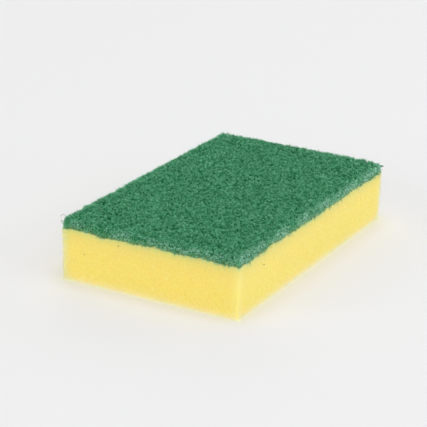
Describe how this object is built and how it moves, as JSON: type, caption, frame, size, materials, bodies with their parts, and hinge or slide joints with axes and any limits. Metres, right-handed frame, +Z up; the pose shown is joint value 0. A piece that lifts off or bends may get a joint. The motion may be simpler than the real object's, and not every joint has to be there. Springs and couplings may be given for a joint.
{
  "type": "cleaning sponge",
  "caption": "Rectangular kitchen cleaning sponge: a soft yellow foam block with a dark green scouring pad bonded flush over its top face.",
  "frame": {"origin": "middle of the foam block's underside, on the surface that the sponge lies on", "axes": "+X along the sponge's length, +Y across its width, +Z up through the foam to the scouring pad"},
  "size_m": [0.15, 0.09, 0.0298],
  "materials": {
    "foam": "matte",
    "scouring_web": "matte"
  },
  "bodies": {
    "root": {"foam_block": "foam", "scouring_pad": "scouring_web"}
  },
  "joints": []
}
